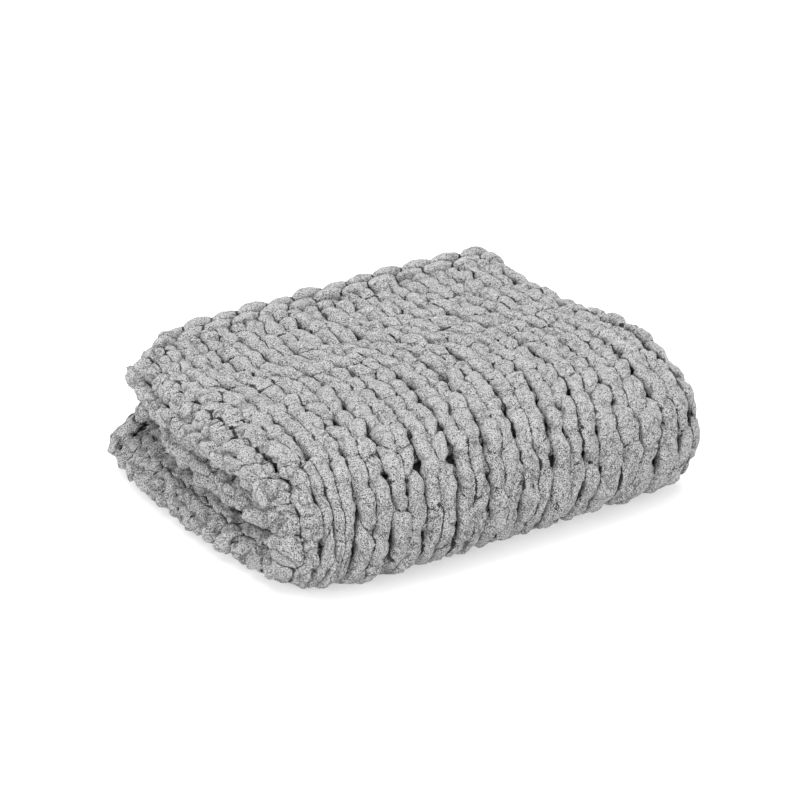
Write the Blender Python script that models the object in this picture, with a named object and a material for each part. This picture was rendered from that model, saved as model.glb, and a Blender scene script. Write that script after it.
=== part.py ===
"""Chunky chenille knit blanket, folded in half sideways and then rolled into thirds.

Metres, +Z up. The origin is on the floor, at the centre of the folded blanket's box. The big
rounded fold faces -Y, the cloth's bound-off edge lies on top at the back, the half fold is the
right end (+X) and both side edges of the cloth lie at the left end (-X).
"""

from collections import namedtuple
from math import cos, exp, hypot, pi, sin

import bmesh
import bpy

# The flat blanket
BLANKET_WIDTH = 1.27
CLOTH_THICKNESS = 0.0275
EDGE_ROUND = 0.011
EDGE_ROUND_STEPS = 2

# The doubled cloth, and the three runs of it that lie on one another
LAYER_GAP = 0.0035
HALF_FOLD_RADIUS = (CLOTH_THICKNESS + LAYER_GAP) / 2
HALF_FOLD_REACH = HALF_FOLD_RADIUS + CLOTH_THICKNESS / 2
HALF_WIDTH = (BLANKET_WIDTH - pi * HALF_FOLD_RADIUS) / 2
STACK = 2 * CLOTH_THICKNESS + LAYER_GAP
RUN_PITCH = STACK + LAYER_GAP
LOW_RUN = STACK / 2
MIDDLE_RUN = LOW_RUN + RUN_PITCH
TOP_RUN = MIDDLE_RUN + RUN_PITCH
PACK_HEIGHT = TOP_RUN + STACK / 2

# The inner end of the cloth, squeezed between the other runs behind the front fold
MIDDLE_FRONT_Y = -0.215
SQUEEZED_LENGTH = 0.100
SQUEEZED_SHARE = 0.78

# The back turn, between the middle run and the low one
BACK_TURN_Y = 0.212
BACK_TURN_RADIUS = RUN_PITCH / 2

# The big front fold, between the low run and the top one: it bellies out low down
LOW_FRONT_Y = -0.230
BELLY_Y = -0.275
BELLY_HEIGHT = 0.070
TOP_FRONT_Y = -0.120
TOP_BACK_Y = 0.270
SHOULDER_FULLNESS = 2.6

# How the front corners of the soft pack draw back
CORNER_RECESS = 0.055
LEFT_CORNER_X = -0.370
RIGHT_CORNER_X = 0.330
CORNER_SHARPNESS = 6

# Where the upper layers have sunk: the middle of each hollow, how far it spreads, how deep it is
Hollow = namedtuple("Hollow", "x y reach depth")
HOLLOWS = [
    Hollow(x=-0.32, y=0.264, reach=0.15, depth=0.0055),
    Hollow(x=0.34, y=0.144, reach=0.17, depth=0.0055),
    Hollow(x=-0.06, y=0.144, reach=0.11, depth=0.0030),
    Hollow(x=0.16, y=-0.036, reach=0.10, depth=0.0025),
    Hollow(x=-0.20, y=-0.076, reach=0.09, depth=0.0020),
]

# How finely the faceted cloth is cut
RUN_STEPS = 7
BACK_TURN_STEPS = 10
LOWER_BEND_STEPS = 6
UPPER_BEND_STEPS = 10
WIDTH_STEPS = 10
HALF_FOLD_STEPS = 8

# How far the ends of the pack reach from the middle, at shares of the way along the cloth from
# its inner end to its outer one. The outer layer is the one that shows on top and in front.
EndRow = namedtuple("EndRow", "share outer_left inner_left right")
PACK_ENDS = [
    EndRow(share=0.00, outer_left=0.330, inner_left=0.336, right=0.292),
    EndRow(share=0.10, outer_left=0.322, inner_left=0.330, right=0.288),
    EndRow(share=0.18, outer_left=0.308, inner_left=0.314, right=0.286),
    EndRow(share=0.24, outer_left=0.272, inner_left=0.280, right=0.284),
    EndRow(share=0.27, outer_left=0.286, inner_left=0.290, right=0.284),
    EndRow(share=0.31, outer_left=0.352, inner_left=0.344, right=0.286),
    EndRow(share=0.38, outer_left=0.366, inner_left=0.354, right=0.288),
    EndRow(share=0.52, outer_left=0.370, inner_left=0.360, right=0.290),
    EndRow(share=0.60, outer_left=0.358, inner_left=0.356, right=0.292),
    EndRow(share=0.67, outer_left=0.348, inner_left=0.354, right=0.315),
    EndRow(share=0.76, outer_left=0.344, inner_left=0.362, right=0.328),
    EndRow(share=0.87, outer_left=0.336, inner_left=0.352, right=0.304),
    EndRow(share=1.00, outer_left=0.308, inner_left=0.320, right=0.306),
]

# One cut through the doubled cloth: its midline's place, the way its outer side faces, how far
# along the midline it is, and the share of its thickness that is left where it is squeezed.
Section = namedtuple("Section", "y z normal_y normal_z length squeeze")


def smooth(value):
    """0 to 1 as value goes from 0 to 1, level at both ends."""
    value = min(1.0, max(0.0, value))
    return value * value * (3 - 2 * value)


def spread(first, last, steps):
    """The values from first up to, and not including, last."""
    return [first + (last - first) * step / steps for step in range(steps)]


def squeezed_end(y):
    """The midline's height and the thickness share, near the inner end of the cloth."""
    free = smooth((y - MIDDLE_FRONT_Y) / SQUEEZED_LENGTH)
    squeeze = SQUEEZED_SHARE + (1 - SQUEEZED_SHARE) * free
    return MIDDLE_RUN - STACK / 2 * (1 - squeeze), squeeze


def lower_bend(turn):
    """A point of the quarter ellipse that lifts the cloth from the low run to the belly."""
    y = LOW_FRONT_Y + (BELLY_Y - LOW_FRONT_Y) * sin(turn)
    return y, BELLY_HEIGHT - (BELLY_HEIGHT - LOW_RUN) * cos(turn)


def upper_bend(turn):
    """A point of the fuller quarter that carries the cloth from the belly over the shoulder."""
    y = TOP_FRONT_Y + (BELLY_Y - TOP_FRONT_Y) * cos(turn) ** (2 / SHOULDER_FULLNESS)
    z = BELLY_HEIGHT + (TOP_RUN - BELLY_HEIGHT) * sin(turn) ** (2 / SHOULDER_FULLNESS)
    return y, z


def fold_midline():
    """The doubled cloth's midline from its inner end to its outer one, as (y, z, squeeze)."""
    points = []
    for y in spread(MIDDLE_FRONT_Y, BACK_TURN_Y, RUN_STEPS + 2):
        points.append((y, *squeezed_end(y)))
    for turn in spread(0, pi, BACK_TURN_STEPS):
        y = BACK_TURN_Y + BACK_TURN_RADIUS * sin(turn)
        points.append((y, MIDDLE_RUN - BACK_TURN_RADIUS * (1 - cos(turn)), 1))
    points += [(y, LOW_RUN, 1) for y in spread(BACK_TURN_Y, LOW_FRONT_Y, RUN_STEPS)]
    points += [(*lower_bend(turn), 1) for turn in spread(0, pi / 2, LOWER_BEND_STEPS)]
    points += [(*upper_bend(turn), 1) for turn in spread(0, pi / 2, UPPER_BEND_STEPS)]
    points += [(y, TOP_RUN, 1) for y in spread(TOP_FRONT_Y, TOP_BACK_Y, RUN_STEPS)]
    return points + [(TOP_BACK_Y, TOP_RUN, 1)]


def fold_sections():
    """The sections of the doubled cloth, one for each point of its midline."""
    points = fold_midline()
    sections = []
    length = 0.0
    for index, (y, z, squeeze) in enumerate(points):
        before = points[max(0, index - 1)]
        after = points[min(len(points) - 1, index + 1)]
        length += hypot(y - before[0], z - before[1])
        step_y, step_z = after[0] - before[0], after[1] - before[1]
        step = hypot(step_y, step_z)
        sections.append(Section(y, z, -step_z / step, step_y / step, length, squeeze))
    return sections


def pack_end(column, share):
    """How far the pack reaches to the left or right, a share of the way along the cloth."""
    for low, high in zip(PACK_ENDS, PACK_ENDS[1:]):
        if share <= high.share:
            part = smooth((share - low.share) / (high.share - low.share))
            start = getattr(low, column)
            return start + (getattr(high, column) - start) * part
    return getattr(PACK_ENDS[-1], column)


def fold_in_half(across, lift, share):
    """Where a point of the flat cloth lies in the doubled cloth: its x, and its height there.

    across runs from the outer layer's side edge, over the half fold, to the inner layer's.
    """
    radius = HALF_FOLD_RADIUS + lift
    right = pack_end("right", share) - HALF_FOLD_REACH
    if across < HALF_WIDTH:
        left = -pack_end("outer_left", share)
        return left + (right - left) * across / HALF_WIDTH, radius
    turned = (across - HALF_WIDTH) / HALF_FOLD_RADIUS
    if turned < pi:
        return right + radius * sin(turned), radius * cos(turned)
    left = -pack_end("inner_left", share)
    return left + (right - left) * (BLANKET_WIDTH - across) / HALF_WIDTH, -radius


def settle(x, y, z):
    """The give of the soft pack, which leaves its underside flat."""
    corner_x = LEFT_CORNER_X if x < 0 else RIGHT_CORNER_X
    corner = min(1.0, (x / corner_x) ** CORNER_SHARPNESS)
    forward = smooth((BACK_TURN_Y - y) / (BACK_TURN_Y - LOW_FRONT_Y))
    loose = smooth((z - STACK) / (PACK_HEIGHT - STACK))
    for hollow in HOLLOWS:
        away = hypot(x - hollow.x, y - hollow.y) / hollow.reach
        z -= loose * hollow.depth * exp(-(away**2))
    return x, y + CORNER_RECESS * corner * forward, z


def width_lines():
    """The flat cloth's lengthwise mesh lines, closer together over the half fold."""
    lines = spread(0, HALF_WIDTH, WIDTH_STEPS)
    lines += spread(HALF_WIDTH, BLANKET_WIDTH - HALF_WIDTH, HALF_FOLD_STEPS)
    lines += spread(BLANKET_WIDTH - HALF_WIDTH, BLANKET_WIDTH, WIDTH_STEPS)
    return lines + [BLANKET_WIDTH]


def flat_cloth(sections):
    """The blanket as a flat slab: x is across, y is along the cloth, z is the lift."""
    lines = width_lines()
    columns, rows = len(lines) - 1, len(sections) - 1
    mesh = bmesh.new()
    bmesh.ops.create_grid(mesh, x_segments=columns, y_segments=rows, size=0.5)
    for vert in mesh.verts:
        vert.co.x = lines[round((vert.co.x + 0.5) * columns)]
        vert.co.y = sections[round((vert.co.y + 0.5) * rows)].length
        vert.co.z = -CLOTH_THICKNESS / 2
    rim = [edge for edge in mesh.edges if edge.is_boundary]
    upper = bmesh.ops.extrude_face_region(mesh, geom=mesh.faces[:] + rim)
    for item in upper["geom"]:
        if isinstance(item, bmesh.types.BMVert):
            item.co.z = CLOTH_THICKNESS / 2
    sharp = [edge for edge in mesh.edges if edge.calc_face_angle(0) > pi / 4]
    bmesh.ops.bevel(
        mesh, geom=sharp, offset=EDGE_ROUND, segments=EDGE_ROUND_STEPS, profile=0.5, affect="EDGES"
    )
    bmesh.ops.recalc_face_normals(mesh, faces=mesh.faces)
    return mesh


def section_at(sections, length):
    """The section a length along the midline, part of the way between two of the list."""
    for low, high in zip(sections, sections[1:]):
        if length <= high.length:
            part = (length - low.length) / (high.length - low.length)
            return Section(*(a + (b - a) * part for a, b in zip(low, high)))
    return sections[-1]


def fold(sections, across, length, lift):
    """A point of the flat cloth, moved to its place in the folded blanket."""
    section = section_at(sections, length)
    x, height = fold_in_half(across, lift, length / sections[-1].length)
    y = section.y + section.normal_y * height * section.squeeze
    z = section.z + section.normal_z * height * section.squeeze
    return settle(x, y, z)


def centre_on_floor(mesh):
    """Moves the mesh so that its box stands centred on the origin."""
    for axis in (0, 1):
        values = [vert.co[axis] for vert in mesh.verts]
        middle = (min(values) + max(values)) / 2
        for vert in mesh.verts:
            vert.co[axis] -= middle


def chenille():
    """Soft mid-grey chenille yarn."""
    material = bpy.data.materials.new("chenille_yarn")
    material.use_nodes = True
    shader = material.node_tree.nodes["Principled BSDF"]
    shader.inputs["Base Color"].default_value = (0.42, 0.42, 0.42, 1)
    shader.inputs["Roughness"].default_value = 0.95
    shader.inputs["Metallic"].default_value = 0.0
    shader.inputs["Sheen Weight"].default_value = 0.4
    return material


def build_blanket(collection):
    sections = fold_sections()
    cloth = flat_cloth(sections)
    for vert in cloth.verts:
        vert.co = fold(sections, *vert.co)
    centre_on_floor(cloth)
    mesh = bpy.data.meshes.new("blanket")
    cloth.to_mesh(mesh)
    cloth.free()
    mesh.shade_smooth()
    mesh.set_sharp_from_angle(angle=pi / 4)
    mesh.materials.append(chenille())
    collection.objects.link(bpy.data.objects.new("blanket", mesh))


def main():
    for leftover in list(bpy.data.objects):
        bpy.data.objects.remove(leftover)
    collection = bpy.data.collections.new("folded_blanket")
    bpy.context.scene.collection.children.link(collection)
    build_blanket(collection)


main()
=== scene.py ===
import math

import bpy
import numpy as np
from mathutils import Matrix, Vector, noise


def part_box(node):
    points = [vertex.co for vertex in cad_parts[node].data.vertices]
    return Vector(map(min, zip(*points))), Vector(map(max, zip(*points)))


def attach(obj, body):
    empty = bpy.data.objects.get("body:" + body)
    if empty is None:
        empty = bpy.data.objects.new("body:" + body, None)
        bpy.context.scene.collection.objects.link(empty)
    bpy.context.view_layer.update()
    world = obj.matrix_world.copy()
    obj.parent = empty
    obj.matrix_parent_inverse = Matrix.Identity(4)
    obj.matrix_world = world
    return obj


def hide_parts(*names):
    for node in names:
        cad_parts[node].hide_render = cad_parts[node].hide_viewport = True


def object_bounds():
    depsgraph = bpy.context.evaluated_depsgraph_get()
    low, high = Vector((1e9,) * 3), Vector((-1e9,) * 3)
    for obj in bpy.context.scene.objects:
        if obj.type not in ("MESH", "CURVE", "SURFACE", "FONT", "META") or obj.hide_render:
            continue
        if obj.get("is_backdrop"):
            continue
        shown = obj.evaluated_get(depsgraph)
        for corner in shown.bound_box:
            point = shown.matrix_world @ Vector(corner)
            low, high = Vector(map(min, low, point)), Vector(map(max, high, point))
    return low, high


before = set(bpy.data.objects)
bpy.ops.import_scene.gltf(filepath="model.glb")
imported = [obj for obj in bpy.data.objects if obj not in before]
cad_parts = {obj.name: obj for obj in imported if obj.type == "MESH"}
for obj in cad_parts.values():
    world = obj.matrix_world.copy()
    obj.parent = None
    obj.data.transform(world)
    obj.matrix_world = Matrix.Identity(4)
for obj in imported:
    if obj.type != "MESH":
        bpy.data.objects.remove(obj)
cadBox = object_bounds()
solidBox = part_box("blanket")
bpy.ops.object.select_all(action="DESELECT")

# the folds, as the solid has them
blanket = {
    "width": 1.27,
    "clothThickness": 0.0275,
    "layerGap": 0.0035,
    "innerEndFrontY": -0.215,
    "squeezedLength": 0.100,
    "squeezedShare": 0.78,
    "backTurnY": 0.212,
    "lowFrontY": -0.230,
    "bellyY": -0.275,
    "bellyHeight": 0.070,
    "topFrontY": -0.120,
    "topBackY": 0.270,
    "shoulderFullness": 2.6,
    "cornerRecess": 0.055,
    "leftCornerX": -0.370,
    "rightCornerX": 0.330,
    "cornerSharpness": 6,
    # share of the way along the cloth, outer layer's left end, inner layer's left end, right end
    "packEnds": [
        (0.00, 0.330, 0.336, 0.292),
        (0.10, 0.322, 0.330, 0.288),
        (0.18, 0.308, 0.314, 0.286),
        (0.24, 0.272, 0.280, 0.284),
        (0.27, 0.286, 0.290, 0.284),
        (0.31, 0.352, 0.344, 0.286),
        (0.38, 0.366, 0.354, 0.288),
        (0.52, 0.370, 0.360, 0.290),
        (0.60, 0.358, 0.356, 0.292),
        (0.67, 0.348, 0.354, 0.315),
        (0.76, 0.344, 0.362, 0.328),
        (0.87, 0.336, 0.352, 0.304),
        (1.00, 0.308, 0.320, 0.306),
    ],
    # middle of each hollow (x, y), how far it spreads, how deep it is
    "hollows": [
        (-0.32, 0.264, 0.15, 0.0055),
        (0.34, 0.144, 0.17, 0.0055),
        (-0.06, 0.144, 0.11, 0.0030),
        (0.16, -0.036, 0.10, 0.0025),
        (-0.20, -0.076, 0.09, 0.0020),
    ],
    "bendPoints": 120,  # of the midline, along each half of the front fold
    "innerPoints": 80,  # along the inner run, and along the turn at the back
    "outerPoints": 60,  # along the low run, and along the top one
    "placePoints": (80, 200),  # across and along, to find where the pack stands
}

halfCloth = blanket["clothThickness"] / 2
foldRadius = (blanket["clothThickness"] + blanket["layerGap"]) / 2
foldReach = foldRadius + halfCloth
halfWidth = (blanket["width"] - math.pi * foldRadius) / 2
stack = 2 * blanket["clothThickness"] + blanket["layerGap"]
runPitch = stack + blanket["layerGap"]
lowRun = stack / 2
middleRun = lowRun + runPitch
topRun = middleRun + runPitch
packHeight = topRun + stack / 2


def smooth(value):
    value = np.clip(value, 0.0, 1.0)
    return value * value * (3 - 2 * value)


def foldMidline():
    # the doubled cloth's midline from its inner end to its outer one: y, z, squeeze
    bend, inner, outer = blanket["bendPoints"], blanket["innerPoints"], blanket["outerPoints"]
    quarter = np.linspace(0, math.pi / 2, bend, endpoint=False)
    y = np.linspace(blanket["innerEndFrontY"], blanket["backTurnY"], inner, endpoint=False)
    free = smooth((y - blanket["innerEndFrontY"]) / blanket["squeezedLength"])
    squeeze = blanket["squeezedShare"] + (1 - blanket["squeezedShare"]) * free
    runs = [np.stack([y, middleRun - stack / 2 * (1 - squeeze), squeeze], 1)]

    def addRun(y, z):
        y, z = np.broadcast_arrays(y, z)
        runs.append(np.stack([y, z, np.ones_like(y)], 1))

    turn = np.linspace(0, math.pi, inner, endpoint=False)
    turnRadius = runPitch / 2
    addRun(blanket["backTurnY"] + turnRadius * np.sin(turn), middleRun - turnRadius * (1 - np.cos(turn)))
    addRun(np.linspace(blanket["backTurnY"], blanket["lowFrontY"], outer, endpoint=False), lowRun)
    addRun(
        blanket["lowFrontY"] + (blanket["bellyY"] - blanket["lowFrontY"]) * np.sin(quarter),
        blanket["bellyHeight"] - (blanket["bellyHeight"] - lowRun) * np.cos(quarter),
    )
    power = 2 / blanket["shoulderFullness"]
    addRun(
        blanket["topFrontY"] + (blanket["bellyY"] - blanket["topFrontY"]) * np.cos(quarter) ** power,
        blanket["bellyHeight"] + (topRun - blanket["bellyHeight"]) * np.sin(quarter) ** power,
    )
    addRun(np.linspace(blanket["topFrontY"], blanket["topBackY"], outer), topRun)
    return np.concatenate(runs)


midline = foldMidline()
steps = np.hypot(*np.diff(midline[:, :2], axis=0).T)
midlineLength = np.concatenate([[0], np.cumsum(steps)])
clothLength = midlineLength[-1]
direction = np.gradient(midline[:, :2], midlineLength, axis=0)
direction /= np.linalg.norm(direction, axis=1, keepdims=True)
packEnds = np.array(blanket["packEnds"])


def packEnd(column, share):
    share = np.clip(share, 0.0, 1.0)
    row = np.clip(np.searchsorted(packEnds[:, 0], share) - 1, 0, len(packEnds) - 2)
    low, high = packEnds[row], packEnds[row + 1]
    part = smooth((share - low[:, 0]) / (high[:, 0] - low[:, 0]))
    return low[:, column] + (high[:, column] - low[:, column]) * part


def foldCloth(flat):
    # carries points of the flat cloth (across, along, lift) to their places in the folded pack
    across, along, lift = flat.T
    inside = np.clip(along, 0.0, clothLength)
    share = inside / clothLength
    midY, midZ, squeeze, stepY, stepZ = (
        np.interp(inside, midlineLength, column) for column in [*midline.T, *direction.T]
    )
    radius = foldRadius + lift
    right = packEnd(3, share) - foldReach
    turned = np.clip((across - halfWidth) / foldRadius, 0.0, math.pi)
    outerLeft, innerLeft = -packEnd(1, share), -packEnd(2, share)
    onOuter, onInner = across < halfWidth, turned >= math.pi
    x = right + radius * np.sin(turned)
    x = np.where(onOuter, outerLeft + (right - outerLeft) * across / halfWidth, x)
    fromEdge = (blanket["width"] - across) / halfWidth
    x = np.where(onInner, innerLeft + (right - innerLeft) * fromEdge, x)
    height = radius * np.cos(turned) * squeeze
    y = midY - stepZ * height + stepY * (along - inside)
    z = midZ + stepY * height + stepZ * (along - inside)
    cornerX = np.where(x < 0, blanket["leftCornerX"], blanket["rightCornerX"])
    corner = np.minimum(1.0, np.abs(x / cornerX) ** blanket["cornerSharpness"])
    forward = smooth((blanket["backTurnY"] - y) / (blanket["backTurnY"] - blanket["lowFrontY"]))
    loose = smooth((z - stack) / (packHeight - stack))
    for hollowX, hollowY, reach, depth in blanket["hollows"]:
        away = ((x - hollowX) ** 2 + (y - hollowY) ** 2) / reach**2
        z = z - loose * depth * np.exp(-away)
    return np.stack([x, y + blanket["cornerRecess"] * corner * forward, z], 1)


def placeOffset():
    # from the folds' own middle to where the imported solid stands
    pointsAcross, pointsAlong = blanket["placePoints"]
    across, along = np.meshgrid(
        np.linspace(0, blanket["width"], pointsAcross), np.linspace(0, clothLength, pointsAlong)
    )
    cloth = np.stack([across.ravel(), along.ravel(), np.full(across.size, halfCloth)], 1)
    folded = foldCloth(cloth)
    middle = (folded.min(0) + folded.max(0)) / 2
    solidMiddle = (np.array(solidBox[0]) + np.array(solidBox[1])) / 2
    return np.array([solidMiddle[0] - middle[0], solidMiddle[1] - middle[1], 0.0])


packPlace = placeOffset()
print("folds: cloth", round(clothLength, 4), "m long, placed at", packPlace.round(4))


def toPack(flat):
    place = foldCloth(np.asarray(flat, float)) + packPlace
    place[:, 2] = np.maximum(place[:, 2], 0.0)
    return place


# the knit, on the flat cloth: across from its left edge, along from its inner end, and lift from
# the middle of its thickness to its knit face; a share is of the way along
knit = {
    "wales": 25,
    "courses": 41,
    "legHeight": 1.5,  # of a stitch, in courses
    "legStretch": [(0.0, 1.0), (0.56, 1.0), (0.64, 1.22), (0.80, 1.20), (0.88, 1.06), (0.95, 1.0)],
    "edgeRoom": 0.008,  # at the cast-on and bound-off ends
    # share, how far the loop swings there, in wales
    "legSpread": [(0.0, 0.13), (0.50, 0.13), (0.60, 0.147), (0.76, 0.147), (0.86, 0.152), (1.0, 0.150)],
    "legDepth": 0.0052,  # legs lie this far in front, heads and feet this far behind
    "legLean": 0.0020,
    "legWidth": [(0.0, 0.0126), (0.60, 0.0124), (0.78, 0.0124), (0.88, 0.0134), (1.0, 0.0134)],
    "legFullness": [(0.0, 0.0108), (0.78, 0.0108), (0.88, 0.0114), (1.0, 0.0114)],
    # higher is rounder towards its middle
    "legSwell": [(0.0, 0.8), (0.55, 0.8), (0.62, 1.0), (0.78, 1.0), (0.88, 1.25), (1.0, 1.25)],
    "loopWidth": 0.0090,
    "loopFullness": 0.0080,
    "squareness": 2.5,  # 2 is round
    # the two legs of a stitch stand this much nearer each other, in wales
    "pairing": [(0.0, 0.0), (0.60, 0.018), (0.78, 0.018), (0.88, 0.006), (1.0, 0.004)],
    # less of a painted shade line where a column's own stitches meet, and between the two legs of a
    # stitch
    "sameLegRoom": [(0.0, 0.0008), (0.60, 0.0012), (0.76, 0.0012), (0.84, 0.0001), (1.0, 0.0)],
    "pairRoom": [(0.0, 0.0008), (0.60, 0.0007), (0.78, 0.0007), (0.86, 0.0004), (1.0, 0.0004)],
    "around": 18,
    "frontCrowding": 0.30,
    # rings that a stitch has, by the first row that fits: first and last wale, shares that it
    # lies between, rings; the most are where the blanket shows
    "rings": [
        (0, 13, 0.55, 1.0, 40), (0, 13, 0.21, 0.32, 28), (0, 1, 0.0, 1.0, 26), (22, 24, 0.0, 1.0, 26),
        (11, 14, 0.0, 1.0, 22), (0, 13, 0.31, 1.0, 14), (0, 24, 0.0, 1.0, 9),
    ],
    "ringCrowding": 0.12,
    # share, how far the columns have slid to the right there, in wales
    "slide": [
        (0.40, 0.0), (0.58, -0.85), (0.647, -0.88), (0.671, -0.73), (0.696, -0.45), (0.724, -0.24),
        (0.755, -0.05), (0.785, 0.15), (0.819, 0.34), (0.844, 0.34), (0.893, -0.10), (0.942, -0.28),
        (1.0, -0.25),
    ],
    "slideFrom": 2.2,  # wales in from the left edge where the slide is whole
    "slideTo": (12.2, 3.2),  # wale where it ends, and over how many it fades
    "endSink": (0.005, 0.968, 0.012),  # the last course lies lower: how far, share, over how far
    "seed": 7,
}

# the side edges, where each course's yarn turns up to the next
sideEdge = {
    "firstRing": 0.08,  # wales in from the edge where the stitches' own rings start
    "in": 0.006,  # the turn starts this far in from the edge
    "out": 0.0085,  # and comes out this far past it
    "width": 0.0130,
    "swell": (0.56, 0.50),  # share of the width at the turn's ends, and how much more in its middle
    "flatness": 0.95,
    "length": 0.84,  # in courses
    "rings": 14,
    "drop": 0.0060,
    "arch": 0.003,
    "stray": 0.0015,
    "fatStray": 0.09,
    "fat": (0.24, 1.25),  # of the ends that lie inside the fold: up to which share, how much
    "turnFat": (0.32, 1.15),  # and of those where the cloth turns at the back
    "curl": 0.0050,
    "curlReach": 0.045,
    "curlMost": 1.4,
    # share, how far the left edges puff out there
    "puff": [
        (0.0, 0.006), (0.10, 0.012), (0.18, 0.024), (0.24, 0.030), (0.27, 0.008),
        (0.29, -0.006), (0.31, 0.0), (1.0, 0.0),
    ],
    "puffReach": 0.20,
    # a hollow beside the left edge on top: wale, how wide, how deep, share, over how far it starts
    "groove": (1.35, 0.42, 0.0075, 0.80, 0.05),
    # the inner layer hangs at the back of the left end: how far, reach, share, over how far
    "hang": (0.009, 0.22, 0.72, 0.15),
    "shown": 0.035,  # nearer the edge than this the yarn is not hidden by its neighbours, so gets no painted shade
    # but its sides towards the other layers are, and are painted shaded: lift where each starts, over
    # how far, how dark
    "hiddenShade": (-0.012, 0.003, 0.011, 0.80),
    "topStart": (0.60, 0.03),  # share where the upper side is no longer covered and painted shaded, over how far
}

walePitch = blanket["width"] / knit["wales"]
coursePitch = (clothLength - 2 * knit["edgeRoom"]) / (knit["courses"] - 1 + knit["legHeight"])
loopHeight = knit["legHeight"] * coursePitch
firstCourse = knit["edgeRoom"] + loopHeight / 2
leftTurn, rightTurn = -1, 2 * knit["wales"]  # the turns' numbers, beside the legs' own
chance = np.random.default_rng(knit["seed"])

looseness = {
    "across": 0.0018,
    "along": 0.0040,
    "lift": 0.0016,
    "fat": 0.09,
    "swing": 0.025,
    "walk": 0.0035,  # slow wander of the columns
    "walkReach": 0.22,
    "walkApart": 5.0,  # between the noise that moves them across and along
}

openings = {
    # where the stitches have drawn furthest apart: wale, share, how wide
    "wide": [
        (4, 0.68, 0.0048), (3, 0.72, 0.0040), (3, 0.68, 0.0034), (5, 0.68, 0.0036), (0.5, 0.64, 0.0040),
        (0.5, 0.67, 0.0034), (3, 0.78, 0.0034), (1, 0.86, 0.0066), (2, 0.91, 0.0056), (5, 0.94, 0.0044),
        (0.5, 0.90, 0.0050), (11.5, 0.75, 0.0036),
    ],
    # stretches with small ones: first and last wale, first and last share, how many in a hundred
    "small": [(2, 9, 0.640, 0.720, 55), (11, 12, 0.660, 0.720, 50), (1, 6, 0.840, 0.985, 42)],
    "smallWidth": (0.0022, 0.0034),
    "across": 0.014,
    "along": 0.014,
    "push": 1.9,  # how far the yarn is pushed aside, in openings' widths
    "pushOver": 0.004,
    "thinning": 14,  # share of the yarn's width for each metre of the opening's
    "seed": 4,
}


def chooseOpenings():
    # the wide ones, and by chance some of the places where four stitches meet
    dice = np.random.default_rng(openings["seed"])
    chosen = list(openings["wide"])
    for firstWale, lastWale, firstShare, lastShare, inHundred in openings["small"]:
        for share in np.arange(firstShare, lastShare, coursePitch / clothLength):
            for wale in range(firstWale, lastWale + 1):
                wide = dice.uniform(*openings["smallWidth"])
                if dice.uniform(0, 100) < inHundred:
                    chosen.append((wale, share, wide))
    return chosen


openPlaces = chooseOpenings()


def legField(amount):
    # one value for each leg of each stitch
    return chance.normal(0.0, amount, (knit["courses"], 2 * knit["wales"] + 2))


legFields = {name: legField(looseness[name]) for name in ("across", "along", "lift", "fat", "swing")}


def fieldAt(name, course, wale):
    # the leg's own value, eased from one leg to the next
    place = np.clip(2 * wale - 0.5, 0, 2 * knit["wales"])
    low = place.astype(int)
    part = smooth(place - low)
    row = legFields[name][course]
    return row[low] * (1 - part) + row[low + 1] * part


def wander(across, along, offset):
    reach = looseness["walkReach"]
    return looseness["walk"] * np.array([
        noise.noise(Vector((a / reach, b / reach, offset))) for a, b in zip(across, along)
    ])


def ringsOf(course, wale):
    share = (firstCourse + course * coursePitch) / clothLength
    for firstWale, lastWale, lowShare, highShare, rings in knit["rings"]:
        if firstWale <= wale <= lastWale and lowShare < share < highShare:
            return rings


def openStitches(across, along):
    # pushes the yarn aside at the openings, and thins it a little there
    thin = np.ones_like(across)
    for wale, share, wide in openPlaces:
        toSide = across - wale * walePitch
        toEnd = along - share * clothLength
        near = np.exp(-((toSide / openings["across"]) ** 2) - (toEnd / openings["along"]) ** 2)
        across = across + np.tanh(toSide / openings["pushOver"]) * wide * near * openings["push"]
        thin = thin - openings["thinning"] * wide * near
    return across, thin


def edgeTurn(middle, side):
    # the yarn turns up to the next course round a side edge
    bend = np.linspace(0, math.pi, sideEdge["rings"])
    across = sideEdge["in"] - (sideEdge["in"] + sideEdge["out"]) * np.sin(bend)
    along = middle - loopHeight / 2 + coursePitch * (0.5 - sideEdge["length"] / 2 * np.cos(bend))
    along = along + chance.normal(0, sideEdge["stray"])
    lift = -sideEdge["drop"] + sideEdge["arch"] * np.sin(bend) + chance.normal(0, sideEdge["stray"])
    ends, more = sideEdge["swell"]
    thick = sideEdge["width"] * (ends + more * np.sin(bend))
    thick = thick * (1 + chance.normal(0, sideEdge["fatStray"]))
    for upTo, fat in (sideEdge["fat"], sideEdge["turnFat"]):
        if middle < upTo * clothLength:
            thick = thick * fat
            break
    leg = np.full(bend.size, leftTurn if side < 0 else rightTurn)
    across = across if side < 0 else blanket["width"] - across
    turn = np.stack([across, along, lift, thick, thick * sideEdge["flatness"], leg], 1)
    return turn[::-1] if side < 0 else turn


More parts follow.
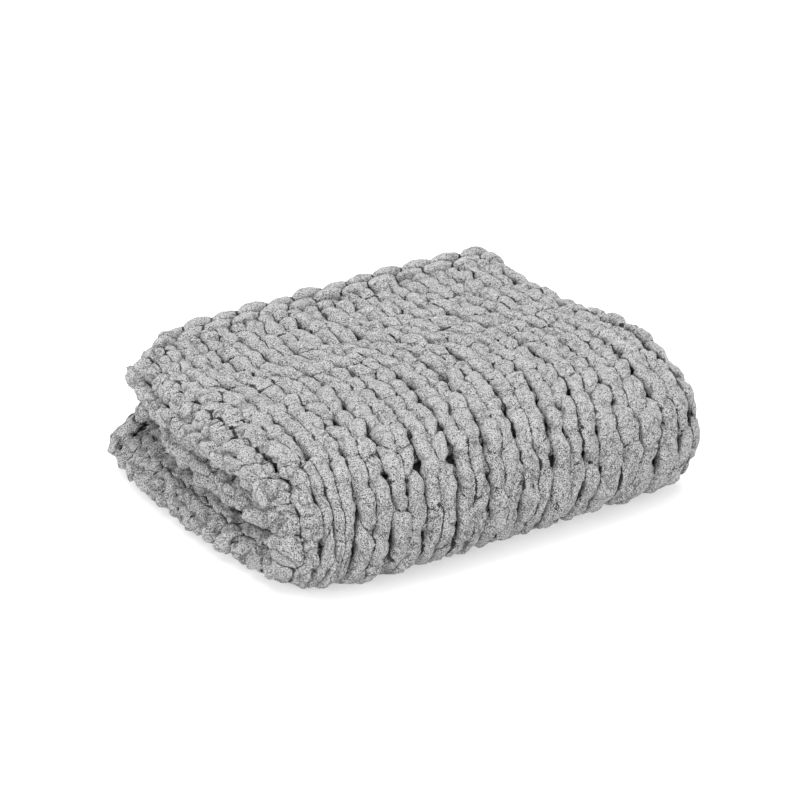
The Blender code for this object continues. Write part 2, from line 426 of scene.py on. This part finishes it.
def courseLine(course):
    # the line of one course's yarn on the flat cloth: across, along, lift, its two radii, leg
    waleParts = []
    for wale in range(knit["wales"]):
        part = np.arange(ringsOf(course, wale)) / ringsOf(course, wale)
        waleParts.append(wale + part + knit["ringCrowding"] / (2 * math.pi) * np.sin(4 * math.pi * part))
    wales = np.concatenate([*waleParts, [knit["wales"]]])
    turn = 2 * math.pi * wales
    middle = firstCourse + course * coursePitch
    spread, pairing, legWidth, legFullness, legSwell, legStretch = (
        np.interp(middle / clothLength, *zip(*knit[name]))
        for name in ("legSpread", "pairing", "legWidth", "legFullness", "legSwell", "legStretch")
    )
    swing = (spread + fieldAt("swing", course, wales)) * walePitch
    across = walePitch * (wales + pairing * np.sin(turn)) + swing * np.sin(2 * turn)
    along = middle - loopHeight * legStretch / 2 * np.cos(turn)
    lift = -knit["legDepth"] * np.cos(2 * turn) + knit["legLean"] * np.cos(turn)
    front = ((1 - np.cos(2 * turn)) / 2) ** legSwell
    across = across + fieldAt("across", course, wales)
    along = along + fieldAt("along", course, wales)
    lift = lift + fieldAt("lift", course, wales)
    fat = 1 + fieldAt("fat", course, wales)
    wide = (knit["loopWidth"] + (legWidth - knit["loopWidth"]) * front) * fat
    full = (knit["loopFullness"] + (legFullness - knit["loopFullness"]) * front) * fat
    across = across + wander(across, along, 0.0)
    along = along + wander(across, along, looseness["walkApart"])
    across, thin = openStitches(across, along)
    leftEnd, rightEnd = edgeTurn(middle, -1), edgeTurn(middle, 1)
    leg = np.minimum(np.floor(2 * wales), 2 * knit["wales"] - 1)
    row = np.stack([across, along, lift, wide * thin, full, leg], 1)
    keep = (wales > sideEdge["firstRing"]) & (wales < knit["wales"] - sideEdge["firstRing"])
    return np.concatenate([leftEnd, row[keep], rightEnd])


def fromSides(flat):
    return np.minimum(flat[:, 0], blanket["width"] - flat[:, 0])


def curlEdges(flat):
    # side edges roll a little towards the purl side, and puff out between the other runs
    fromSide = fromSides(flat)
    curl = np.clip(1 - fromSide / sideEdge["curlReach"], 0, sideEdge["curlMost"]) ** 2
    flat[:, 2] -= sideEdge["curl"] * curl
    puffOut = np.interp(flat[:, 1] / clothLength, *zip(*sideEdge["puff"]))
    ease = smooth(1 - fromSide / sideEdge["puffReach"])
    flat[:, 0] += np.where(flat[:, 0] < blanket["width"] / 2, -1, 1) * puffOut * ease
    share = flat[:, 1] / clothLength
    wale, wide, deep, start, over = sideEdge["groove"]
    inGroove = np.exp(-(((flat[:, 0] / walePitch - wale) / wide) ** 2))
    flat[:, 2] -= deep * inGroove * smooth((share - start) / over)
    deep, reach, start, over = sideEdge["hang"]
    hang = smooth(1 - (blanket["width"] - flat[:, 0]) / reach) * smooth((share - start) / over)
    flat[:, 2] += deep * hang
    deep, start, over = knit["endSink"]
    flat[:, 2] -= deep * smooth((share - start) / over)
    return slideColumns(flat)


def slideColumns(flat):
    # the columns lean to the right up the front and back to the left on top
    wale = flat[:, 0] / walePitch
    slide = np.interp(flat[:, 1] / clothLength, *zip(*knit["slide"]))
    end, fade = knit["slideTo"]
    flat[:, 0] += walePitch * slide * smooth(wale / knit["slideFrom"]) * smooth((end - wale) / fade)
    return flat


lumps = {
    "size": 0.0210,
    "height": 0.0110,
    "most": 0.42,
    "smallSize": 0.0100,
    "smallHeight": 0.0046,
    "smallApart": 9.0,  # between the noise of the large lumps and of the small
    "middle": 0.22,  # of the noise, which neither raises nor lowers
    # share, how lumpy the yarn is there
    "shown": [(0.0, 1.1), (0.58, 1.15), (0.68, 1.15), (0.76, 0.90), (0.86, 0.75), (1.0, 0.80)],
}


def puff(points):
    # rounded lumps with sharp creases between them, as plush yarn has; and the lumps' own field, which
    # places the painted crease shade
    values = np.empty(len(points))
    swell = np.empty(len(points))
    big, small, apart = lumps["size"], lumps["smallSize"], lumps["smallApart"]
    middle, most = lumps["middle"], lumps["most"]
    for index, (a, b, c) in enumerate(points.tolist()):
        broad = noise.noise(Vector((a / big, b / big, c / big)))
        fine = abs(noise.noise(Vector((a / small, b / small, c / small + apart))))
        raised = lumps["height"] * (min(abs(broad), most) - middle)
        values[index] = raised + lumps["smallHeight"] * (fine - middle)
        swell[index] = broad
    return values, swell


def tubeMesh(line, around, lumpy):
    # a closed tube along a line on the flat cloth; its points there, faces, ends and lumps
    centre, wide, full = line[:, :3], line[:, 3], line[:, 4]
    forward = np.gradient(centre, axis=0)
    forward /= np.linalg.norm(forward, axis=1, keepdims=True)
    up = np.array([0.0, 0.0, 1.0]) - forward[:, 2:3] * forward
    up /= np.linalg.norm(up, axis=1, keepdims=True)
    side = np.cross(forward, up)
    even = np.arange(around) * 2 * math.pi / around
    angle = even + knit["frontCrowding"] * np.cos(even)
    power = 2 / knit["squareness"]
    acrossPart = np.sign(np.cos(angle)) * np.abs(np.cos(angle)) ** power
    upPart = np.sign(np.sin(angle)) * np.abs(np.sin(angle)) ** power
    offset = (
        side[:, None] * (wide[:, None] * acrossPart)[..., None]
        + up[:, None] * (full[:, None] * upPart)[..., None]
    )
    points = (centre[:, None] + offset).reshape(-1, 3)
    outward = offset.reshape(-1, 3)
    outward = outward / np.linalg.norm(outward, axis=1, keepdims=True)
    raised, swell = puff(points)
    raised = lumpy * raised * np.interp(points[:, 1] / clothLength, *zip(*lumps["shown"]))
    points = points + outward * raised[:, None]
    rings = len(line)
    ring = np.arange(rings - 1)[:, None] * around
    spoke = np.arange(around)[None]
    following = (spoke + 1) % around
    faces = np.stack([
        ring + spoke, ring + around + spoke, ring + around + following, ring + following
    ], -1).reshape(-1, 4)
    ends = [list(range(around)), list(range((rings - 1) * around, rings * around))[::-1]]
    return points, faces, ends, swell, raised


def makeMesh(name, points, faces, ends, values):
    mesh = bpy.data.meshes.new(name)
    loops = np.concatenate([faces.ravel(), np.array([v for end in ends for v in end], int)])
    starts = np.concatenate([
        np.arange(len(faces)) * 4,
        len(faces) * 4 + np.cumsum([0, *[len(end) for end in ends]])[:-1],
    ]).astype(int)
    mesh.vertices.add(len(points))
    mesh.vertices.foreach_set("co", points.astype(np.float32).ravel())
    mesh.loops.add(len(loops))
    mesh.loops.foreach_set("vertex_index", loops)
    mesh.polygons.add(len(starts))
    mesh.polygons.foreach_set("loop_start", starts)
    mesh.update(calc_edges=True)
    mesh.validate()
    mesh.shade_smooth()
    for title, numbers in values.items():
        layer = mesh.attributes.new(title, "FLOAT", "POINT")
        layer.data.foreach_set("value", numbers.astype(np.float32))
    piece = bpy.data.objects.new(name, mesh)
    bpy.context.scene.collection.objects.link(piece)
    return piece


courseLines = [courseLine(course) for course in range(knit["courses"])]


def sortLegs():
    # every leg of every course, as its line against the way along the cloth
    legs = {}
    for course, line in enumerate(courseLines):
        for leg in np.unique(line[:, 5]).astype(int):
            part = line[line[:, 5] == leg]
            legs[course, leg] = part[np.argsort(part[:, 1])].T[:5]
    return legs


legLines = sortLegs()
farOff = 0.02  # more room than the painted crevice shade asks for
nowhere = 9.0  # across, for a leg that doesn't reach beside a point


def gapTo(points, line):
    # how far points stand from a line's yarn, by its nearest ring
    away = np.linalg.norm(points[:, None] - line[None, :, :3], axis=2)
    return (away - (line[:, 3] + line[:, 4]) / 2).min(1)


def roomLeft(course, points, raised, around):
    # how far each point of a course's yarn stands clear of the yarns beside it
    room = np.full(len(points), farOff)
    pointLegs = np.repeat(courseLines[course][:, 5].astype(int), around)
    share = (firstCourse + course * coursePitch) / clothLength
    power = knit["squareness"]
    for leg in np.unique(pointLegs):
        mine = np.flatnonzero(pointLegs == leg)
        across, along, lift = points[mine].T
        if leg in (leftTurn, rightTurn):
            for courseStep in (-1, 1):
                other = legLines.get((course + courseStep, leg))
                if other is not None:
                    room[mine] = np.minimum(room[mine], gapTo(points[mine], other.T) - raised[mine])
        pairStep = 1 if leg % 2 == 0 else -1
        for courseStep in (-2, -1, 0, 1, 2):
            for legStep in (-1, 0, 1):
                other = legLines.get((course + courseStep, leg + legStep))
                if other is None or courseStep == legStep == 0:
                    continue
                place = other[1]
                there = np.interp(along, place, other[0], left=nowhere, right=nowhere)
                if there.min() == nowhere:
                    continue
                high, wide, full = (np.interp(along, place, other[row]) for row in (2, 3, 4))
                away = np.abs(across - there) / wide, np.abs(lift - high) / full
                far = (away[0] ** power + away[1] ** power) ** (1 / power)
                clear = (far - 1) * (wide + full) / 2 - raised[mine]
                if legStep == 0:
                    clear = clear + np.interp(share, *zip(*knit["sameLegRoom"]))
                elif legStep == pairStep:
                    clear = clear + np.interp(share, *zip(*knit["pairRoom"]))
                room[mine] = np.minimum(room[mine], clear)
    return room


rimLumps = {
    "size": 0.0260,  # at the side edges the lumps are rounder still
    "height": 0.0080,
    "reach": 0.035,
    "most": 0.4,
    "middle": 0.2,
    "apart": 3.0,  # from the noise of the other lumps
    "least": 0.01,  # share of a rim below which nothing moves
    "own": 0.5,  # share from which its own noise draws the creases' painted shade
    # where the cloth turns at the back: share, over how far, further in by, higher by
    "turn": (0.285, 0.03, 0.045, 2.0),
    "belly": (0.645, 0.05, 0.7),  # on the belly: share, over how far, lower by
}


def roundRim(mesh, flat):
    # the turns at the side edges stand out as separate round lumps
    share = flat[:, 1] / clothLength
    turnShare, turnOver, further, higher = rimLumps["turn"]
    bellyShare, bellyOver, lower = rimLumps["belly"]
    atTurn = np.exp(-(((share - turnShare) / turnOver) ** 2))
    atRim = smooth(1 - fromSides(flat) / (rimLumps["reach"] + further * atTurn))
    atBelly = np.exp(-(((share - bellyShare) / bellyOver) ** 2))
    height = rimLumps["height"] * (1 + higher * atTurn) * (1 - lower * atBelly)
    places = np.empty(3 * len(atRim))
    outward = np.empty(3 * len(atRim))
    swell = np.empty(len(atRim))
    mesh.vertices.foreach_get("co", places)
    mesh.vertex_normals.foreach_get("vector", outward)
    mesh.attributes["swell"].data.foreach_get("value", swell)
    places, outward = places.reshape(-1, 3), outward.reshape(-1, 3)
    for index in np.flatnonzero(atRim > rimLumps["least"]):
        field = noise.noise(Vector((places[index] + rimLumps["apart"]) / rimLumps["size"]))
        raised = min(abs(field), rimLumps["most"]) - rimLumps["middle"]
        places[index] += outward[index] * atRim[index] * height[index] * raised
        if atRim[index] > rimLumps["own"]:
            swell[index] = field
    places[:, 2] = np.maximum(places[:, 2], 0.0)
    mesh.vertices.foreach_set("co", places.ravel())
    mesh.attributes["swell"].data.foreach_set("value", swell)
    # the rim's share, which lays painted shade in the valleys between its lumps
    mesh.attributes.new("rim", "FLOAT", "POINT").data.foreach_set("value", atRim)
    mesh.update()


def depthOf(flat):
    # 1 at the front of the cloth, at its side edges and at its open end, less elsewhere: painted shade
    # for yarn deep in the pile, darker still between the layers
    fromSide = fromSides(flat)
    below, above, over, dark = sideEdge["hiddenShade"]
    topShare, topOver = sideEdge["topStart"]
    # the sides towards the other layers, painted darker as their shade
    hiddenShade = smooth((below - flat[:, 2]) / over)
    covered = smooth((topShare - flat[:, 1] / clothLength) / topOver)
    hiddenShade = np.maximum(hiddenShade, smooth((flat[:, 2] - above) / over) * covered)
    hiddenShade *= smooth(1 - fromSide / rimLumps["reach"])
    fromEdge = np.minimum(fromSide, clothLength - flat[:, 1])
    depth = np.maximum(flat[:, 2] / halfCloth, 1 - fromEdge / sideEdge["shown"])
    return np.minimum(depth, 1.0) - dark * hiddenShade


def joinTubes(name, lines, around, findRoom, lumpy=1.0):
    allPoints, allFaces, allEnds, allSwell, allRoom, count = [], [], [], [], [], 0
    for index, line in enumerate(lines):
        points, faces, ends, swell, raised = tubeMesh(line, around, lumpy)
        allPoints.append(points)
        allFaces.append(faces + count)
        allEnds += [[v + count for v in end] for end in ends]
        allSwell.append(swell)
        allRoom.append(findRoom(index, points, raised))
        count += len(points)
    flat = np.concatenate(allPoints)
    room = 1000 * np.concatenate(allRoom)  # in millimetres
    values = {"depth": depthOf(flat), "swell": np.concatenate(allSwell), "room": room}
    piece = makeMesh(name, toPack(curlEdges(flat.copy())), np.concatenate(allFaces), allEnds, values)
    roundRim(piece.data, flat)
    triangles = sum(len(p.vertices) - 2 for p in piece.data.polygons)
    print("knit:", name, "yarns", len(lines), "triangles", triangles)
    return piece


bands = {
    "knit_inner_end": range(0, 9),
    "knit_back_turn": range(9, 15),
    "knit_underside": range(15, 23),
    "knit_belly": range(23, 29),
    "knit_shoulder": range(29, 35),
    "knit_top": range(35, 41),
}
yarnPieces = []
for name, courses in bands.items():
    lines = [courseLines[course] for course in courses]

    def bandRoom(index, points, raised, first=courses[0]):
        return roomLeft(first + index, points, raised, knit["around"])

    yarnPieces.append(joinTubes(name, lines, knit["around"], bandRoom))

boundOff = {
    # the chain lies in two rows: from the end, lift, offset in stitches
    "rows": [(0.007, 0.0135, 0.5), (0.030, 0.0130, 0.0)],
    "fromSide": 0.30,  # in wales
    "length": 1.20,  # in wales
    "yarn": 0.0118,
    "endTaper": 0.94,
    "lumpy": 0.4,
    "tilt": 0.0035,
    "slant": 0.0050,
    "looseness": 0.0012,
    "fatStray": 0.06,
    "rings": 15,
    "around": 16,
    "beside": 4,  # links to each side that a link's room is measured to
}
yarnTail = {
    "from": (0.600, -0.010, 0.010),
    "to": (0.620, 0.004, 0.019),
    "yarn": 0.0072,
    "endTaper": 0.75,
    "taperPower": 6,
    "rings": 8,
}


def chainOval(middle, fromEnd, lift):
    # one stitch of the bound-off chain, its left end over its neighbour's right one
    part = np.linspace(-1, 1, boundOff["rings"])
    stray = chance.normal(0.0, boundOff["looseness"], 3)
    across = walePitch * (middle + boundOff["length"] / 2 * part) + stray[0]
    along = clothLength - fromEnd + boundOff["slant"] * part + stray[1]
    lift = lift - boundOff["tilt"] * part + stray[2]
    fat = 1 + chance.normal(0, boundOff["fatStray"])
    yarn = boundOff["yarn"] * np.sqrt(1 - boundOff["endTaper"] * part**2) * fat
    return np.stack([across, along, lift, yarn, yarn, 0 * yarn], 1)


def tailLine():
    # the yarn's cut end, at the far corner
    part = np.linspace(0, 1, yarnTail["rings"])[:, None]
    place = np.array(yarnTail["from"]) * (1 - part) + np.array(yarnTail["to"]) * part
    yarn = yarnTail["yarn"] * (1 - yarnTail["endTaper"] * part[:, 0] ** yarnTail["taperPower"])
    return np.stack([place[:, 0], clothLength + place[:, 1], place[:, 2], yarn, yarn, 0 * yarn], 1)


links = []
firstLink = boundOff["fromSide"] + boundOff["length"] / 2
linkPitch = (knit["wales"] - 2 * firstLink) / (knit["wales"] - 1)
for stitch in range(knit["wales"]):
    for fromEnd, lift, offset in boundOff["rows"]:
        if stitch + offset <= knit["wales"] - 1:
            links.append(chainOval(firstLink + (stitch + offset) * linkPitch, fromEnd, lift))
links.append(tailLine())


def linkRoom(index, points, raised):
    room = np.full(len(points), farOff)
    beside = boundOff["beside"]
    for other in range(max(0, index - beside), min(len(links), index + beside + 1)):
        if other != index:
            room = np.minimum(room, gapTo(points, links[other]) - raised)
    return room


yarnPieces.append(joinTubes("bound_off_edge", links, boundOff["around"], linkRoom, boundOff["lumpy"]))

castOn = {
    "yarn": 0.0150,
    "swell": 0.10,
    "fromEnd": 0.004,
    "fromSide": 0.002,
    "swing": 0.004,
    "lift": 0.002,
    "around": 16,
    "ringsPerWale": 10,
}


def castOnLine():
    wales = np.linspace(0.0, knit["wales"], knit["wales"] * castOn["ringsPerWale"])
    across = np.clip(walePitch * wales, castOn["fromSide"], blanket["width"] - castOn["fromSide"])
    along = castOn["fromEnd"] + castOn["swing"] * np.cos(2 * math.pi * wales)
    lift = castOn["lift"] * np.sin(2 * math.pi * wales)
    yarn = castOn["yarn"] * (1 + castOn["swell"] * np.cos(4 * math.pi * wales))
    return np.stack([across, along, lift, yarn, yarn, 0 * yarn], 1)


def openRoom(index, points, raised):
    return np.full(len(points), farOff)


yarnPieces.append(joinTubes("cast_on_edge", [castOnLine()], castOn["around"], openRoom))

# a near-black sheet inside the cloth, which closes the gaps between the stitches and shows in them as
# painted shade
shadeSheet = {"inset": 0.012, "lift": -0.0060, "columns": 120, "rows": 200}
bpy.ops.object.select_all(action="DESELECT")
bpy.ops.mesh.primitive_grid_add(x_subdivisions=shadeSheet["columns"], y_subdivisions=shadeSheet["rows"], size=2)
gapShadeSheet = bpy.context.object
gapShadeSheet.name = gapShadeSheet.data.name = "gap_shade_sheet"
unit = np.empty(len(gapShadeSheet.data.vertices) * 3)
gapShadeSheet.data.vertices.foreach_get("co", unit)
unit = unit.reshape(-1, 3)
inset = shadeSheet["inset"]
flatShadeSheet = np.stack([
    inset + (unit[:, 0] + 1) / 2 * (blanket["width"] - 2 * inset),
    inset + (unit[:, 1] + 1) / 2 * (clothLength - 2 * inset),
    np.full(len(unit), shadeSheet["lift"]),
], 1)
gapShadeSheet.data.vertices.foreach_set("co", toPack(curlEdges(flatShadeSheet)).ravel())
gapShadeSheet.data.update()
gapShadeSheet.data.shade_smooth()
print("ground cloth:", len(gapShadeSheet.data.polygons), "faces")


class Wire:
    # a socket that takes part in sums: 1 - lumps * 0.4 adds the Math nodes it needs
    def __init__(self, maker, socket):
        self.maker = maker
        self.socket = socket

    def __add__(self, other):
        return self.maker.sums("ADD", self, other)

    def __radd__(self, other):
        return self.maker.sums("ADD", other, self)

    def __sub__(self, other):
        return self.maker.sums("SUBTRACT", self, other)

    def __rsub__(self, other):
        return self.maker.sums("SUBTRACT", other, self)

    def __mul__(self, other):
        return self.maker.sums("MULTIPLY", self, other)

    def __rmul__(self, other):
        return self.maker.sums("MULTIPLY", other, self)


class Maker:
    def __init__(self, name):
        self.material = bpy.data.materials.new(name)
        self.material.use_nodes = True
        self.tree = self.material.node_tree
        self.tree.nodes.clear()

    def add(self, kind, settings=None, sockets=None, output=0):
        node = self.tree.nodes.new(kind)
        for name, value in (settings or {}).items():
            setattr(node, name, value)
        for name, value in (sockets or {}).items():
            if isinstance(value, Wire):
                self.tree.links.new(value.socket, node.inputs[name])
            else:
                node.inputs[name].default_value = value
        return Wire(self, node.outputs[output]) if len(node.outputs) else node

    def sums(self, operation, *values):
        return self.add("ShaderNodeMath", {"operation": operation}, dict(enumerate(values)))


def grey(value):
    return (value, value, value, 1.0)


chenille = {
    "light": 0.488,
    "dark": 0.006,
    "roughness": 0.95,
    "specular": 0.2,
    "sheen": 0.12,
    "sheenRoughness": 0.6,
    "pileSize": 700.0,
    "tuftSize": 510.0,
    "crinkleSize": 90.0,
    "swirlSize": 120.0,
    "swirl": 0.014,
    "patchSize": 60.0,
    "broadSize": 9.0,
    "broadTone": (0.90, 0.2),  # least, and how much more
    "pileHeight": 0.0020,
    "tuftHeight": 0.0030,
    "creaseHeight": 0.0030,
    # where each mark starts and ends in its own noise, and how dark it is or how much it takes off
    "speckle": (0.35, 0.55),
    # the speckle is the pile's own grain, painted deeper lower down as the pile's shade on the steep
    # front
    "speckleHeights": (0.11, 0.17),
    "speckleDepths": (0.66, 0.43),
    "pit": (0.375, 0.465),
    "pitTone": 0.02,
    # painted shade in the crinkles where a loop tucks under the next, in patches
    "crinkle": (0.0, 0.12),
    "crinklePatch": (0.47, 0.62),
    "crinkleDepth": 0.6,
    # painted shade in the creases between lumps, in patches, and in the valleys between the rim's lumps
    "crease": (0.0, 0.050),
    "creasePatch": (0.42, 0.56),
    "creaseDepth": 0.45,
    "rimCrease": (0.0, 0.13),
    "rimCreaseDepth": 0.45,
    # painted shade for yarn that lies deep in the pile: depth where it starts and ends, darkest tone
    "behind": (-0.4, 0.55),
    "behindShadeTone": 0.05,
    # painted shade between the yarns, in millimetres of room, with a ragged edge
    "gap": (0.4, 2.5),
    "gapShadeTone": 0.01,
    "gapTuftStray": 5.0,
    "gapPatchStray": 7.0,
}


def finishYarn():
    maker = Maker("chenille_yarn")
    place = maker.add("ShaderNodeTexCoord", output="Object")
    depth = maker.add("ShaderNodeAttribute", {"attribute_name": "depth"}, output="Fac")
    swell = maker.add("ShaderNodeAttribute", {"attribute_name": "swell"}, output="Fac")

    def mottle(size, detail, **others):
        sockets = {"Vector": place, "Scale": size, "Detail": detail, **others}
        return maker.add("ShaderNodeTexNoise", {}, sockets)

    tufts = mottle(chenille["tuftSize"], 2.0, Roughness=0.6)
    pile = mottle(chenille["pileSize"], 1.0, Roughness=0.5)
    broad = mottle(chenille["broadSize"], 2.0)
    patches = mottle(chenille["patchSize"], 1.0)
    swirl = maker.add(
        "ShaderNodeTexNoise", {},
        {"Vector": place, "Scale": chenille["swirlSize"], "Detail": 2.0}, output="Color",
    )
    bent = maker.add(
        "ShaderNodeVectorMath", {"operation": "MULTIPLY_ADD"},
        {0: swirl, 1: (chenille["swirl"],) * 3, 2: place},
    )
    cracks = maker.add(
        "ShaderNodeTexVoronoi", {"feature": "DISTANCE_TO_EDGE"},
        {"Vector": bent, "Scale": chenille["crinkleSize"], "Randomness": 1.0}, output="Distance",
    )
    height = maker.add("ShaderNodeSeparateXYZ", {}, {"Vector": place}, output="Z")

    def between(value, ends, first, last):
        # eases from first to last while the value goes from one end to the other
        return maker.add(
            "ShaderNodeMapRange", {"interpolation_type": "SMOOTHSTEP"},
            {"Value": value, "From Min": ends[0], "From Max": ends[1], "To Min": first, "To Max": last},
        )

    speckle = between(tufts, chenille["speckle"], 0.0, 1.0)
    pits = between(pile, chenille["pit"], chenille["pitTone"], 1.0)
    # painted shade in the crinkles, in patches; the same also raises the bump
    crack = between(cracks, chenille["crinkle"], 0.0, 1.0)
    cracked = between(patches, chenille["crinklePatch"], 0.0, 1.0)
    crinkle = 1 - cracked * (1 - crack) * chenille["crinkleDepth"]
    room = maker.add("ShaderNodeAttribute", {"attribute_name": "room"}, output="Fac")
    # painted shade in the creases between lumps, and in the valleys between the rim's lumps
    crease = between(maker.sums("ABSOLUTE", swell), chenille["crease"], 0.0, 1.0)
    creased = between(patches, chenille["creasePatch"], 1.0, 0.0)
    rim = maker.add("ShaderNodeAttribute", {"attribute_name": "rim"}, output="Fac")
    valley = between(maker.sums("ABSOLUTE", swell), chenille["rimCrease"], 1.0, 0.0)
    creases = 1 - creased * (1 - crease) * chenille["creaseDepth"]
    edge = creases * (1 - rim * valley * chenille["rimCreaseDepth"])
    # painted shade in the crevices between the yarns, from each point's room
    # 0.5 is the middle of a noise
    clear = room + (tufts - 0.5) * chenille["gapTuftStray"] + (patches - 0.5) * chenille["gapPatchStray"]
    # painted shade deep in the pile and between the layers, with the crevices' painted shade
    behind = between(depth, chenille["behind"], chenille["behindShadeTone"], 1.0)
    deep = behind * between(clear, chenille["gap"], chenille["gapShadeTone"], 1.0)
    # speckle deeper lower down: painted shade of the pile on the steep front, over its own grain
    grainAndShade = between(height, chenille["speckleHeights"], *chenille["speckleDepths"])
    tone, more = chenille["broadTone"]
    shade = (1 - grainAndShade * (1 - speckle)) * pits * crinkle * edge * deep * (tone + broad * more)
    # Mix by colour: sockets 6 and 7 are the two colours
    colour = maker.add(
        "ShaderNodeMix", {"data_type": "RGBA"},
        {0: shade, 6: grey(chenille["dark"]), 7: grey(chenille["light"])}, output=2,
    )
    relief = (
        tufts * chenille["tuftHeight"] + pile * chenille["pileHeight"]
        + (crinkle + edge) * (chenille["creaseHeight"] / 2)
    )
    bump = maker.add("ShaderNodeBump", {}, {"Strength": 1.0, "Distance": 1.0, "Height": relief})
    shader = maker.add(
        "ShaderNodeBsdfPrincipled", {},
        {"Base Color": colour, "Roughness": chenille["roughness"], "Sheen Weight": chenille["sheen"],
         "Sheen Roughness": chenille["sheenRoughness"], "Normal": bump,
         "Specular IOR Level": chenille["specular"]},
    )
    maker.add("ShaderNodeOutputMaterial", {}, {"Surface": shader})
    return maker.material


yarnMaterial = finishYarn()

# near black, so that the gaps between the stitches show painted shade
gapShadeFinish = {"light": 0.05, "dark": 0.01, "fuzzSize": 260.0, "fuzzHeight": 0.002}


def finishGapShade():
    maker = Maker("gap_shade_finish")
    place = maker.add("ShaderNodeTexCoord", output="Object")
    fuzz = maker.add(
        "ShaderNodeTexNoise", {}, {"Vector": place, "Scale": gapShadeFinish["fuzzSize"], "Detail": 3.0}
    )
    colour = maker.add(
        "ShaderNodeMix", {"data_type": "RGBA"},
        {0: fuzz, 6: grey(gapShadeFinish["dark"]), 7: grey(gapShadeFinish["light"])}, output=2,
    )
    bump = maker.add(
        "ShaderNodeBump", {}, {"Strength": 1.0, "Distance": gapShadeFinish["fuzzHeight"], "Height": fuzz}
    )
    shader = maker.add(
        "ShaderNodeBsdfPrincipled", {},
        {"Base Color": colour, "Roughness": chenille["roughness"], "Normal": bump,
         "Specular IOR Level": chenille["specular"]},
    )
    maker.add("ShaderNodeOutputMaterial", {}, {"Surface": shader})
    return maker.material


gapShadeSheet.data.materials.append(finishGapShade())
for piece in yarnPieces:
    piece.data.materials.append(yarnMaterial)
print("materials: yarn and ground")

stage = {
    "floorSize": 26.0,
    "floorWhite": 0.52,
    "floorGlow": 0.48,
    "worldLight": 1.2,
    # where each soft sun stands, and how strong it is
    "suns": {
        "top_sun": ((0.1, 0.35, 1.0), 2.1),
        "left_sun": ((-1.0, -0.3, 0.08), 3.0),
        "front_sun": ((0.6, -1.0, 0.0), 1.2),
    },
    "sunSpread": 70.0,
    "sunDistance": 3,
    "cameraAzimuth": -33.6,
    "cameraHeight": 25.4,
    "cameraDistance": 5.0,
    "lens": 157.5,
    "sensor": 36.0,
    "aimHeight": 0.08,
    "shiftX": -0.0225,
    "shiftY": 0.020,
    "clipEnd": 60.0,
}
bpy.ops.object.select_all(action="DESELECT")
bpy.ops.mesh.primitive_plane_add(size=stage["floorSize"], location=(0, 0, 0))
floor = bpy.context.object
floor.name = "studio_floor"
floorMaker = Maker("studio_floor")
white = floorMaker.add("ShaderNodeBsdfDiffuse", {}, {"Color": grey(stage["floorWhite"])})
glow = floorMaker.add("ShaderNodeEmission", {}, {"Color": grey(stage["floorGlow"]), "Strength": 1.0})
both = floorMaker.add("ShaderNodeAddShader", {}, {0: white, 1: glow})
floorMaker.add("ShaderNodeOutputMaterial", {}, {"Surface": both})
floor.data.materials.append(floorMaker.material)
floor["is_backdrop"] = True

world = bpy.data.worlds.new("studio")
bpy.context.scene.world = world
world.use_nodes = True
world.node_tree.nodes["Background"].inputs["Color"].default_value = grey(1.0)
world.node_tree.nodes["Background"].inputs["Strength"].default_value = stage["worldLight"]

for name, (towards, power) in stage["suns"].items():
    lamp = bpy.data.lights.new(name, "SUN")
    lamp.angle = math.radians(stage["sunSpread"])
    lamp.energy = power
    holder = bpy.data.objects.new(name, lamp)
    bpy.context.scene.collection.objects.link(holder)
    holder.location = Vector(towards) * stage["sunDistance"]
    holder.rotation_euler = Vector(towards).to_track_quat("Z", "Y").to_euler()

scene = bpy.context.scene
scene.view_settings.view_transform = "Standard"
camera = bpy.data.cameras.new("camera")
cameraHolder = bpy.data.objects.new("camera", camera)
scene.collection.objects.link(cameraHolder)
azimuth, elevation = math.radians(stage["cameraAzimuth"]), math.radians(stage["cameraHeight"])
back = Vector((
    math.sin(azimuth) * math.cos(elevation),
    -math.cos(azimuth) * math.cos(elevation),
    math.sin(elevation),
))
aim = Vector((packPlace[0], packPlace[1], stage["aimHeight"]))
cameraHolder.location = aim + back * stage["cameraDistance"]
cameraHolder.rotation_mode = "QUATERNION"
cameraHolder.rotation_quaternion = (-back).to_track_quat("-Z", "Y")
camera.lens = stage["lens"]
camera.sensor_width = stage["sensor"]
camera.shift_x = stage["shiftX"]
camera.shift_y = stage["shiftY"]
camera.dof.use_dof = False
camera.clip_end = stage["clipEnd"]
scene.camera = cameraHolder
print("stage: floor,", len(stage["suns"]), "soft suns and camera")

for piece in [gapShadeSheet, *yarnPieces]:
    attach(piece, "root")
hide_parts("blanket")
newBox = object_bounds()
sides, solidSides = ([round(high - low, 4) for low, high in zip(*box)] for box in (newBox, cadBox))
print("size:", sides, "solid", solidSides)
